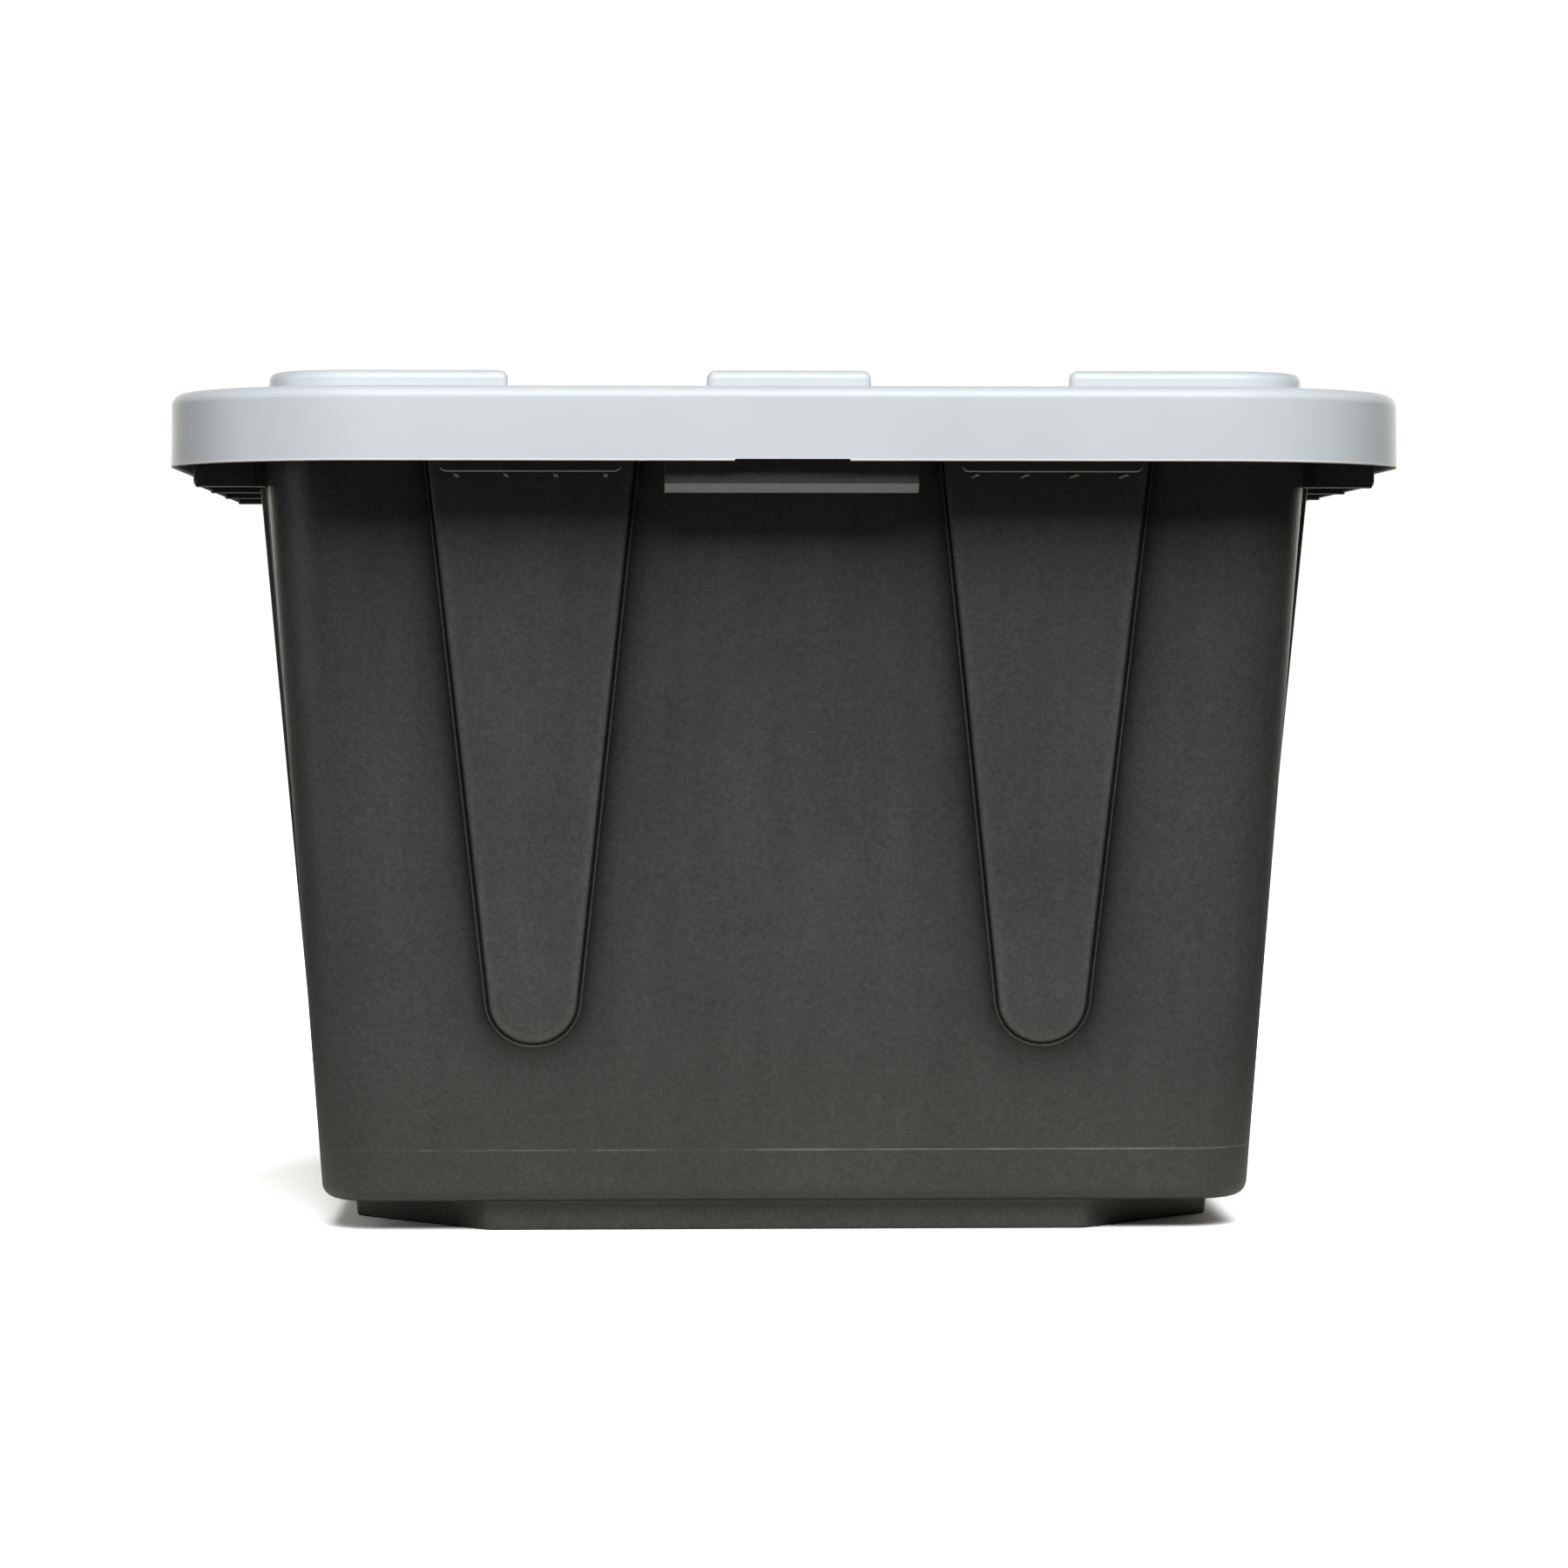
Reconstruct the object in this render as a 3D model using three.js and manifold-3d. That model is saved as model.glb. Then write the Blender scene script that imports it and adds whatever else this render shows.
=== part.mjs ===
// A storage tote: a black tub with drafted walls, and a grey lid that snaps over its rim.
// Millimetres, +Z up. The origin is the middle of the foot's underside. X runs along the
// long side, and the two long sides face -Y and +Y.

import * as THREE from "three";
import { mergeVertices } from "three/addons/utils/BufferGeometryUtils.js";
import Module from "manifold-3d";

const wasm = await Module();
wasm.setup();

// ---- Driving dimensions ----

const wall = 2.5; // thickness of both mouldings
const fitGap = 0.3; // between the lid and the rim that it rests on
const overlap = 0.5; // how far joined shapes run into each other

const lid = {
  halfX: 305,
  halfY: 239.6,
  corner: 106,
  skirtBottom: 377.9,
  top: 414,
  edgeRadius: 6,
  draft: 0.01,
};

const notch = { halfWidth: 27.7, height: 1 }; // in the skirt, at the middle of each long side

const pad = {
  rise: 10,
  edgeRadius: 4.5,
  halfX: 255.7, // outline that the pads' outer faces share
  halfY: 190.3,
  corner: 40,
  middleHalfX: 40.3, // middle pad of a long side
  middleHalfY: 34, // middle pad of a short side
  cornerFromX: 136.8, // where a corner pad starts along a long side
  cornerFromY: 98,
};

const tub = {
  underside: 15, // height of the tub's underside over the foot's
  halfX: 230.8, // outer half sizes at the underside
  halfY: 164.5,
  draft: 0.0718, // outward run of a wall per millimetre of height
  bottomCorner: 32,
  topCorner: 40,
  edgeRadius: 7,
};

const foot = { halfX: 217.5, halfY: 154, chamfer: 69, edge: 1, ringWidth: 19, panelLift: 1.2 };
const nest = { depth: 3, clearance: 2.5 }; // the recess in the lid that takes the foot above

const rim = { halfX: 299, halfY: 233.6, corner: 100 };
const apron = { halfX: 293.5, halfY: 228.1, corner: 94.5, bottom: 381 };

const pilaster = {
  tipRadius: 23.3,
  tipCentre: 116, // height of the middle of the rounded tip
  slope: 0.108, // half width gained per millimetre of height
  riseAtTip: 1.75, // how far the face stands off the wall
  riseAtRim: 5,
  bevel: 1.6,
};
const longSidePilasters = [-125.5, 125.5];
const endPilasters = [-92.5, 92.5];

const grip = { halfWidth: 143.1, bottom: 369.4, ribBottom: 368.2, ribs: [-142, -47, 47, 142] };
const lip = { halfWidth: 44, bottom: 373, ribBottom: 371.2, ribs: [-36, -12, 12, 36] };
const ledge = { halfWidth: 61.4, bottom: 363.1, bevel: 4.4, depth: 14 };
const ribThickness = 2.2;

const plug = { gap: 1, thickness: 2.2, bottom: 402 };

const cornerSteps = 4; // half the number of chords in a quarter turn
const edgeSteps = 3; // chords along a rounded edge

// ---- Sizes that follow ----

const rimTop = lid.top - wall - fitGap;
const rimUnderside = rimTop - wall;
const padTop = lid.top + pad.rise;
const nestFloor = lid.top - nest.depth;
const floorTop = tub.underside + wall;
const footFloorTop = foot.panelLift + wall;

// How far a wall has leaned out at height z.
const lean = (z) => tub.draft * (z - tub.underside);

// ---- Outlines ----

function roundedRectangle(halfX, halfY, radius) {
  const x = halfX - radius;
  const y = halfY - radius;
  const quarter = Math.PI / 2;
  const shape = new THREE.Shape();
  shape.absarc(x, -y, radius, -quarter, 0, false);
  shape.absarc(x, y, radius, 0, quarter, false);
  shape.absarc(-x, y, radius, quarter, 2 * quarter, false);
  shape.absarc(-x, -y, radius, 2 * quarter, 3 * quarter, false);
  shape.closePath();
  return shape;
}

function rectangle(fromX, toX, fromY, toY) {
  const corners = [[fromX, fromY], [toX, fromY], [toX, toY], [fromX, toY]];
  return new THREE.Shape(corners.map(([x, y]) => new THREE.Vector2(x, y)));
}

// A rectangle with its four corners cut off at 45 degrees.
function octagon(halfX, halfY, chamfer) {
  const x = halfX - chamfer;
  const y = halfY - chamfer;
  const corners = [
    [x, -halfY], [halfX, -y], [halfX, y], [x, halfY],
    [-x, halfY], [-halfX, y], [-halfX, -y], [-x, -halfY],
  ];
  return new THREE.Shape(corners.map(([u, v]) => new THREE.Vector2(u, v)));
}

// The foot's octagon moved outwards by a distance, all sides alike.
function footOutline(outward) {
  const chamfer = foot.chamfer + outward * (2 - Math.SQRT2);
  return octagon(foot.halfX + outward, foot.halfY + outward, chamfer);
}

// A pilaster's outline across the wall and up it, shrunk on all sides by an inset.
function pilasterOutline(inset, top) {
  const radius = pilaster.tipRadius - inset;
  const splay = Math.atan(pilaster.slope);
  const shape = new THREE.Shape();
  shape.absarc(0, pilaster.tipCentre, radius, Math.PI + splay, 2 * Math.PI - splay, false);
  const straight = top - pilaster.tipCentre + radius * Math.sin(splay);
  const halfTop = radius * Math.cos(splay) + straight * pilaster.slope;
  shape.lineTo(halfTop, top);
  shape.lineTo(-halfTop, top);
  shape.closePath();
  return shape;
}

// ---- Solids ----

function solid(geometry) {
  const bare = new THREE.BufferGeometry();
  bare.setAttribute("position", geometry.getAttribute("position"));
  bare.setIndex(geometry.index);
  const merged = mergeVertices(bare, 1e-4);
  return new wasm.Manifold(new wasm.Mesh({
    numProp: 3,
    vertProperties: new Float32Array(merged.attributes.position.array),
    triVerts: new Uint32Array(merged.index.array),
  }));
}

const joined = (solids) => solids.reduce((sum, next) => sum.add(next));

// A straight prism on a horizontal outline, from one height to another.
function prism(shape, bottom, top) {
  const options = { depth: top - bottom, bevelEnabled: false, curveSegments: cornerSteps };
  const geometry = new THREE.ExtrudeGeometry(shape, options);
  return solid(geometry.translate(0, 0, bottom));
}

// A prism whose upper and lower edges are cut back by a bevel, inside its outline.
function bevelledPrism(shape, bottom, top, inset, bevel, bevelSegments) {
  const geometry = new THREE.ExtrudeGeometry(shape, {
    depth: top - bottom - 2 * bevel,
    bevelEnabled: true,
    bevelThickness: bevel,
    bevelSize: bevel,
    bevelOffset: -bevel - inset,
    bevelSegments,
    curveSegments: cornerSteps,
  });
  return solid(geometry.translate(0, 0, bottom + bevel));
}

function box(fromX, toX, fromY, toY, bottom, top) {
  return prism(rectangle(fromX, toX, fromY, toY), bottom, top);
}

// A closed skin through rings of points that match one to one. Each ring runs
// counter-clockwise seen from the last ring's side.
function loft(rings) {
  const count = rings[0].length;
  const positions = rings.flat().flatMap((point) => point.toArray());
  const triangles = [];
  for (let row = 0; row + 1 < rings.length; row++) {
    for (let i = 0; i < count; i++) {
      const next = (i + 1) % count;
      const [a, b] = [row * count + i, row * count + next];
      const [c, d] = [b + count, a + count];
      triangles.push(a, b, c, a, c, d);
    }
  }
  const last = (rings.length - 1) * count;
  for (let i = 1; i + 1 < count; i++) {
    triangles.push(0, i + 1, i);
    triangles.push(last, last + i, last + i + 1);
  }
  const geometry = new THREE.BufferGeometry();
  geometry.setAttribute("position", new THREE.Float32BufferAttribute(positions, 3));
  geometry.setIndex(triangles);
  return solid(geometry);
}

// One level ring of a tub or lid: a rounded rectangle at height z.
function level(halfX, halfY, radius, z) {
  const points = roundedRectangle(halfX, halfY, radius).getPoints(cornerSteps);
  const open = points[0].distanceTo(points.at(-1)) < 1e-6 ? points.slice(0, -1) : points;
  return open.map((point) => new THREE.Vector3(point.x, point.y, z));
}

// ---- Tub ----

function tubLevel(inset, z) {
  const share = (z - tub.underside) / (rimTop - tub.underside);
  const radius = tub.bottomCorner + share * (tub.topCorner - tub.bottomCorner) - inset;
  return level(tub.halfX + lean(z) - inset, tub.halfY + lean(z) - inset, radius, z);
}

// The tub's body as a solid block: the outside with inset 0, the cavity with inset wall.
function tubBlock(inset, bottom, top) {
  const radius = tub.edgeRadius - inset;
  const rings = [];
  for (let step = 0; step <= edgeSteps; step++) {
    const angle = (step / edgeSteps) * (Math.PI / 2);
    const z = bottom + radius * (1 - Math.cos(angle));
    rings.push(tubLevel(inset + radius * (1 - Math.sin(angle)), z));
  }
  rings.push(tubLevel(inset, top));
  return loft(rings);
}

// One pilaster on the wall that faces -Y. sink moves its face into the wall and shrinks
// its outline, which makes the matching recess on the inside.
function pilasterBlock(wallHalf, centre, sink) {
  const top = rimUnderside + overlap;
  const span = top - pilaster.tipCentre;
  const riseAt = (z) => {
    const share = Math.max(0, (z - pilaster.tipCentre) / span);
    return pilaster.riseAtTip + share * (pilaster.riseAtRim - pilaster.riseAtTip);
  };
  const ring = (inset, outward) => {
    const points = pilasterOutline(inset, top).getPoints(cornerSteps).slice(0, -1);
    return points.map(({ x, y: z }) => {
      const face = wallHalf + lean(z) + outward(z);
      return new THREE.Vector3(centre + x, -face, z);
    });
  };
  const root = ring(sink, () => -sink - 1);
  const face = ring(sink + pilaster.bevel, (z) => riseAt(z) - sink);
  return loft([root, face]);
}

// The lowered stretch of apron along the wall that faces -Y, between two positions in X.
function apronDrop(apronHalf, fromX, toX, bottom) {
  return box(fromX, toX, -apronHalf, wall - apronHalf, bottom, rimUnderside + overlap);
}

// Upright ribs that tie the apron to the wall that faces -Y.
function ribs(wallHalf, apronHalf, positions, bottom) {
  const reach = wallHalf + lean(bottom) - overlap;
  return positions.map((x) => {
    const half = ribThickness / 2;
    return box(x - half, x + half, overlap - apronHalf, -reach, bottom, rimUnderside + overlap);
  });
}

// The bevelled grip ledge at the middle of the long side that faces -Y.
function ledgeBar() {
  const { bottom, bevel, depth } = ledge;
  const inner = bevel - wall * (2 - Math.SQRT2);
  const top = rimUnderside + overlap;
  const profile = [
    [0, top], [0, bottom + bevel], [bevel, bottom], [depth, bottom], [depth, bottom + wall],
    [wall + inner, bottom + wall], [wall, bottom + wall + inner], [wall, top],
  ];
  const shape = new THREE.Shape(profile.map(([inward, z]) => new THREE.Vector2(inward, z)));
  const options = { depth: 2 * ledge.halfWidth, bevelEnabled: false };
  const geometry = new THREE.ExtrudeGeometry(shape, options);
  geometry.rotateX(Math.PI / 2);
  geometry.rotateZ(Math.PI / 2);
  return solid(geometry.translate(-ledge.halfWidth, -apron.halfY, 0));
}

function longSide() {
  const features = [ledgeBar()];
  for (const centre of longSidePilasters) {
    const positions = lip.ribs.map((offset) => centre + offset);
    features.push(pilasterBlock(tub.halfY, centre, 0));
    features.push(apronDrop(apron.halfY, centre - lip.halfWidth, centre + lip.halfWidth, lip.bottom));
    features.push(...ribs(tub.halfY, apron.halfY, positions, lip.ribBottom));
  }
  return joined(features);
}

function shortSide() {
  return joined([
    apronDrop(apron.halfX, -grip.halfWidth, grip.halfWidth, grip.bottom),
    ...ribs(tub.halfX, apron.halfX, grip.ribs, grip.ribBottom),
    ...endPilasters.map((centre) => pilasterBlock(tub.halfX, centre, 0)),
  ]);
}

// The side features face -Y. turned() sets a solid round the Z axis by whole degrees.
const turned = (shape, degrees) => shape.rotate([0, 0, degrees]);

function makeTub() {
  const longFeatures = longSide();
  const shortFeatures = shortSide();
  const apronShape = roundedRectangle(apron.halfX, apron.halfY, apron.corner);
  const inside = [apron.halfX - wall, apron.halfY - wall, apron.corner - wall];
  apronShape.holes.push(roundedRectangle(...inside));
  const outside = joined([
    tubBlock(0, tub.underside, rimTop),
    bevelledPrism(footOutline(0), 0, floorTop, 0, foot.edge, 1),
    prism(roundedRectangle(rim.halfX, rim.halfY, rim.corner), rimUnderside, rimTop),
    prism(apronShape, apron.bottom, rimUnderside + overlap),
    longFeatures,
    turned(longFeatures, 180),
    turned(shortFeatures, 90),
    turned(shortFeatures, 270),
  ]);

  const longRecesses = joined(longSidePilasters.map((x) => pilasterBlock(tub.halfY, x, wall)));
  const endRecesses = joined(endPilasters.map((x) => pilasterBlock(tub.halfX, x, wall)));
  const cavity = joined([
    tubBlock(wall, floorTop, rimTop + 1),
    prism(footOutline(-wall - foot.edge), footFloorTop, floorTop + 1),
    longRecesses,
    turned(longRecesses, 180),
    turned(endRecesses, 90),
    turned(endRecesses, 270),
  ]);
  const underPanel = prism(footOutline(-foot.ringWidth), -1, foot.panelLift);
  return outside.subtract(cavity).subtract(underPanel);
}

// ---- Lid ----

// The lid's block without pads: the outside with inset 0, the hollow with inset wall.
function lidBlock(inset, bottom) {
  const top = lid.top - inset;
  const radius = lid.edgeRadius - inset;
  const straightTop = top - radius;
  const lidLevel = (extra, z) => {
    const back = inset + extra;
    return level(lid.halfX - back, lid.halfY - back, lid.corner - back, z);
  };
  const rings = [lidLevel(0, bottom)];
  for (let step = 0; step <= edgeSteps; step++) {
    const angle = (step / edgeSteps) * (Math.PI / 2);
    const back = lid.draft * (straightTop - lid.skirtBottom) + radius * (1 - Math.cos(angle));
    rings.push(lidLevel(back, straightTop + radius * Math.sin(angle)));
  }
  return loft(rings);
}

// The corner pad at +X, -Y. Its inner edge runs along the foot's cut-off corner.
function cornerPadOutline() {
  const { halfX, halfY, corner, cornerFromX, cornerFromY } = pad;
  const clearance = nest.clearance + 1;
  const innerY = foot.halfY + clearance;
  const cut = foot.chamfer + clearance * (2 - Math.SQRT2);
  const diagonal = foot.halfX + clearance + innerY - cut; // x - y along the cut-off corner
  const shape = new THREE.Shape();
  shape.moveTo(cornerFromX, -halfY);
  shape.lineTo(halfX - corner, -halfY);
  shape.absarc(halfX - corner, corner - halfY, corner, -Math.PI / 2, 0, false);
  shape.lineTo(halfX, -cornerFromY);
  shape.lineTo(diagonal - cornerFromY, -cornerFromY);
  shape.lineTo(diagonal - innerY, -innerY);
  shape.lineTo(cornerFromX, -innerY);
  shape.closePath();
  return shape;
}

// The same outline mirrored into another corner, its points kept counter-clockwise.
function mirrored(shape, signX, signY) {
  const points = shape.getPoints(cornerSteps).slice(0, -1);
  const moved = points.map((point) => new THREE.Vector2(point.x * signX, point.y * signY));
  return new THREE.Shape(signX * signY < 0 ? moved.reverse() : moved);
}

function padOutlines() {
  const innerX = foot.halfX + nest.clearance + 1;
  const innerY = foot.halfY + nest.clearance + 1;
  const outlines = [
    rectangle(-pad.middleHalfX, pad.middleHalfX, -pad.halfY, -innerY),
    rectangle(-pad.middleHalfX, pad.middleHalfX, innerY, pad.halfY),
    rectangle(-pad.halfX, -innerX, -pad.middleHalfY, pad.middleHalfY),
    rectangle(innerX, pad.halfX, -pad.middleHalfY, pad.middleHalfY),
  ];
  const corner = cornerPadOutline();
  for (const signX of [-1, 1]) {
    for (const signY of [-1, 1]) outlines.push(mirrored(corner, signX, signY));
  }
  return outlines;
}

function plugRing(top) {
  const mouthX = tub.halfX + lean(plug.bottom) - wall - plug.gap;
  const mouthY = tub.halfY + lean(plug.bottom) - wall - plug.gap;
  const radius = tub.topCorner - wall - plug.gap;
  const shape = roundedRectangle(mouthX, mouthY, radius);
  const inner = [mouthX, mouthY, radius].map((size) => size - plug.thickness);
  shape.holes.push(roundedRectangle(...inner));
  return prism(shape, plug.bottom, top);
}

function makeLid() {
  const outlines = padOutlines();
  const underside = lid.top - wall;
  const padBlocks = outlines.map((outline) =>
    bevelledPrism(outline, underside - pad.edgeRadius, padTop, 0, pad.edgeRadius, 2));
  const belowPads = box(-lid.halfX, lid.halfX, -lid.halfY, lid.halfY, 0, underside + overlap);
  const pads = joined(padBlocks).subtract(belowPads);
  const hollowEdge = pad.edgeRadius - wall;
  const hollows = joined(outlines.map((outline) =>
    bevelledPrism(outline, underside - 2 * wall, padTop - wall, wall, hollowEdge, 1)));
  const notches = [-1, 1].map((side) => {
    const y = side * lid.halfY;
    const top = lid.skirtBottom + notch.height;
    return box(-notch.halfWidth, notch.halfWidth, y - 2 * wall, y + 2 * wall, 0, top);
  });

  const shell = lidBlock(0, lid.skirtBottom).add(pads);
  const cut = shell.subtract(lidBlock(wall, lid.skirtBottom - 1)).subtract(hollows);
  const nestPlate = prism(footOutline(nest.clearance + wall), nestFloor - wall, underside + overlap);
  const nestHollow = prism(footOutline(nest.clearance), nestFloor, lid.top + pad.rise + 1);
  const ribsInPads = plugRing(padTop - 1).intersect(joined(padBlocks));
  return joined([cut, nestPlate])
    .subtract(nestHollow)
    .add(plugRing(underside + overlap))
    .add(ribsInPads)
    .subtract(joined(notches));
}

// ---- Scene graph ----

function meshOf(name, shape, material) {
  const { vertProperties, triVerts } = shape.getMesh();
  const geometry = new THREE.BufferGeometry();
  geometry.setAttribute("position", new THREE.BufferAttribute(vertProperties, 3));
  geometry.setIndex(new THREE.BufferAttribute(triVerts, 1));
  geometry.computeVertexNormals();
  const mesh = new THREE.Mesh(geometry, material);
  mesh.name = name;
  return mesh;
}

const blackPlastic = new THREE.MeshStandardMaterial({
  color: new THREE.Color(0x3c3c3a),
  roughness: 0.55,
  metalness: 0,
});
const greyPlastic = new THREE.MeshStandardMaterial({
  color: new THREE.Color(0xbfc6ca),
  roughness: 0.45,
  metalness: 0,
});

const tote = new THREE.Group();
tote.add(meshOf("tub", makeTub(), blackPlastic));
tote.add(meshOf("lid", makeLid(), greyPlastic));

export default tote;
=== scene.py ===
"""The looks of a storage tote: a black tub and a grey snap-on lid, as two finely rounded mouldings.

Shapes are worked out in millimetres and turned into metres when a mesh is made.
"""
import math

import bpy
import numpy as np
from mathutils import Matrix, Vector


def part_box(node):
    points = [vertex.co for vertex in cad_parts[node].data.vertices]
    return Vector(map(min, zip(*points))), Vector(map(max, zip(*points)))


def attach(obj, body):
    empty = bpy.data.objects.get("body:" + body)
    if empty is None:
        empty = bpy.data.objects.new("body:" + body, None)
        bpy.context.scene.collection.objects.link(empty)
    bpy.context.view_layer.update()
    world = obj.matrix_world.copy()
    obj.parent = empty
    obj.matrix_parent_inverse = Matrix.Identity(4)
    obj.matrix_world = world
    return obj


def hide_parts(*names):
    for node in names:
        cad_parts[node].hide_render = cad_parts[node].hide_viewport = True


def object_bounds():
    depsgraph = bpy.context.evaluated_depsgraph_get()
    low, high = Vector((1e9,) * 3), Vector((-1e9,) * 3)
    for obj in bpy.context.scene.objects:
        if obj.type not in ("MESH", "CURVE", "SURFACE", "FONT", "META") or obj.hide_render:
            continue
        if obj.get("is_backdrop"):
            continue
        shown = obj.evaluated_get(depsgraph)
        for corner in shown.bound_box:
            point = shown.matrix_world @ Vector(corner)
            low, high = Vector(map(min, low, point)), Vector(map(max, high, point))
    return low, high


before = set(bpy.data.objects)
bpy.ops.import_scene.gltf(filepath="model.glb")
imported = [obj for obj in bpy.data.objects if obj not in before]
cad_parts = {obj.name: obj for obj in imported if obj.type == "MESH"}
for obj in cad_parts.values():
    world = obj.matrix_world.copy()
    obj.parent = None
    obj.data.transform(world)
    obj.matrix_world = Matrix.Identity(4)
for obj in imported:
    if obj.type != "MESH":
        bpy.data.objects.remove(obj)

cad_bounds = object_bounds()

# ---- Sizes from the frame, in millimetres ----

lid_low, lid_high = (np.array(corner) * 1000 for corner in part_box("lid"))
_, tub_high = (np.array(corner) * 1000 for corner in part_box("tub"))

LID_HALF_X = lid_high[0]
LID_HALF_Y = lid_high[1]
SKIRT_BOTTOM = lid_low[2]
PAD_TOP = lid_high[2]
RIM_HALF_X = tub_high[0]
RIM_HALF_Y = tub_high[1]
RIM_TOP = tub_high[2]

# ---- Driving dimensions, in millimetres ----

WALL = 2.5  # thickness of both mouldings
OVERLAP = 0.5  # how far joined shapes run into each other
SHARP_ANGLE = 38  # degrees; flatter edges are shaded smooth

LID_TOP = PAD_TOP - 10
LID_CORNER = 106
LID_EDGE = 6
SKIRT_EDGE = 0.6
SKIRT_DRAFT = 0.01
NOTCH_HALF = 27.7
NOTCH_HEIGHT = 1.0

PAD_EDGE = 4.3
PAD_HALF_X = 255.7
PAD_HALF_Y = 190.3
PAD_CORNER = 40
PAD_SMALL_CORNER = 4
MIDDLE_PAD_HALF_X = 40.3
MIDDLE_PAD_HALF_Y = 34
CORNER_PAD_FROM_X = 136.8
CORNER_PAD_FROM_Y = 98

UNDERSIDE = 15
TUB_HALF_X = 230.8
TUB_HALF_Y = 164.5
TUB_DRAFT = 0.0718
TUB_BOTTOM_CORNER = 32
TUB_TOP_CORNER = 40
TUB_EDGE = 7

FOOT_HALF_X = 217.5
FOOT_HALF_Y = 154
FOOT_CHAMFER = 69
FOOT_CORNER = 9
FOOT_RING = 19
FOOT_PANEL_LIFT = 1.2
NEST_DEPTH = 3
NEST_CLEARANCE = 2.5

RIM_CORNER = 100
RIM_UNDERSIDE = RIM_TOP - WALL
WALL_TOP = RIM_TOP - 0.4  # just inside the rim's thickness
APRON_HALF_X = 293.5
APRON_HALF_Y = 228.1
APRON_CORNER = 94.5
APRON_BOTTOM = 381

PILASTER_TIP_RADIUS = 23.3
PILASTER_TIP_CENTRE = 116
PILASTER_SLOPE = 0.108
PILASTER_RISE_TIP = 1.75
PILASTER_RISE_RIM = 5
PILASTER_EDGE = 3.0
PILASTER_STEPS = 14  # to each rounded corner
PILASTER_OVERSHOOT = 12  # above the rim, trimmed off later
GROOVE_WIDTH = 1.2
COVE_WIDTH = 11  # the wall sweeps up to a pilaster over this distance
COVE_SHARE = 0.45  # of the pilaster's rise
LONG_PILASTERS = (-125.5, 125.5)
END_PILASTERS = (-92.5, 92.5)

GRIP_HALF, GRIP_BOTTOM, GRIP_RIB_BOTTOM = 143.1, 369.4, 368.2
GRIP_RIBS = (-142, -47, 47, 142)
LIP_HALF, LIP_BOTTOM, LIP_RIB_BOTTOM = 44, 373, 371.2
LIP_RIBS = (-36, -12, 12, 36)
LEDGE_HALF, LEDGE_BOTTOM, LEDGE_BEVEL, LEDGE_DEPTH = 61.4, 363.1, 4.4, 14
DROP_EDGE = 0.9  # rounding of the lowered stretches of the apron and of the ledge
DROP_PROUD = 0.05  # how far these stand out in front of the apron
RIB_THICKNESS, RIB_EDGE = 2.2, 0.95
PLUG_GAP, PLUG_THICKNESS, PLUG_BOTTOM = 1, 2.2, 402


def lean(z):
    """How far a tub wall has leaned out at height z."""
    return TUB_DRAFT * (z - UNDERSIDE)


# ---- Outlines: polygons whose corners are (x, y, radius), counter-clockwise ----


def rectangle(low_x, high_x, low_y, high_y, radius):
    places = ((low_x, low_y), (high_x, low_y), (high_x, high_y), (low_x, high_y))
    return [(x, y, radius) for x, y in places]


def centred(half_x, half_y, radius):
    return rectangle(-half_x, half_x, -half_y, half_y, radius)


def foot_octagon(outward, radius):
    """The foot's outline moved out by a distance on every side."""
    half_x, half_y = FOOT_HALF_X + outward, FOOT_HALF_Y + outward
    cut = FOOT_CHAMFER + outward * (2 - math.sqrt(2))
    x, y = half_x - cut, half_y - cut
    right = [(x, -half_y, radius), (half_x, -y, radius), (half_x, y, radius), (x, half_y, radius)]
    return right + [(-px, -py, r) for px, py, r in right]


def outline(corners, inset, steps, spans=1):
    """Points of a polygon with rounded corners, moved in by inset.

    steps divides each corner's arc, spans divides each straight side.
    """
    points = np.array([corner[:2] for corner in corners], float)
    ahead = np.roll(points, -1, axis=0) - points
    ahead /= np.linalg.norm(ahead, axis=1)[:, None]
    left = np.stack([-ahead[:, 1], ahead[:, 0]], axis=1)
    arcs = []
    for i, (_, _, radius) in enumerate(corners):
        before, after = left[i - 1], left[i]
        turn = math.atan2(before[0] * after[1] - before[1] * after[0], before @ after)
        side = math.copysign(1, turn)
        inward = (before + after) / (1 + before @ after)
        rounding = max(radius - side * inset, 0.05)
        centre = points[i] + inward * (inset + side * rounding)
        start = -side * rounding * before
        angles = turn * np.arange(steps + 1) / steps
        cosines, sines = np.cos(angles), np.sin(angles)
        turned_x = start[0] * cosines - start[1] * sines
        turned_y = start[0] * sines + start[1] * cosines
        arcs.append(centre + np.stack([turned_x, turned_y], axis=1))
    pieces = []
    for arc, following in zip(arcs, arcs[1:] + arcs[:1]):
        shares = np.arange(1, spans)[:, None] / spans
        pieces += [arc, arc[-1] + shares * (following[0] - arc[-1])]
    return np.concatenate(pieces)


# ---- Solids: (points, faces), closed and facing out ----


def facing_out(points, faces):
    volume = 0.0
    for face in faces:
        corner = points[face[0]]
        for a, b in zip(face[1:], face[2:]):
            volume += corner @ np.cross(points[a], points[b])
    return (points, faces) if volume > 0 else (points, [face[::-1] for face in faces])


def loft(rings, looped=False):
    """A closed skin through rings that match point to point, capped or joined end to end."""
    count = len(rings[0])
    levels = len(rings)
    points = np.concatenate(rings)
    faces = []
    for level in range(levels if looped else levels - 1):
        here, there = level * count, ((level + 1) % levels) * count
        for i in range(count):
            j = (i + 1) % count
            faces.append((here + i, here + j, there + j, there + i))
    if not looped:
        faces.append(tuple(range(count))[::-1])
        faces.append(tuple(range((levels - 1) * count, levels * count)))
    return facing_out(points, faces)


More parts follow.
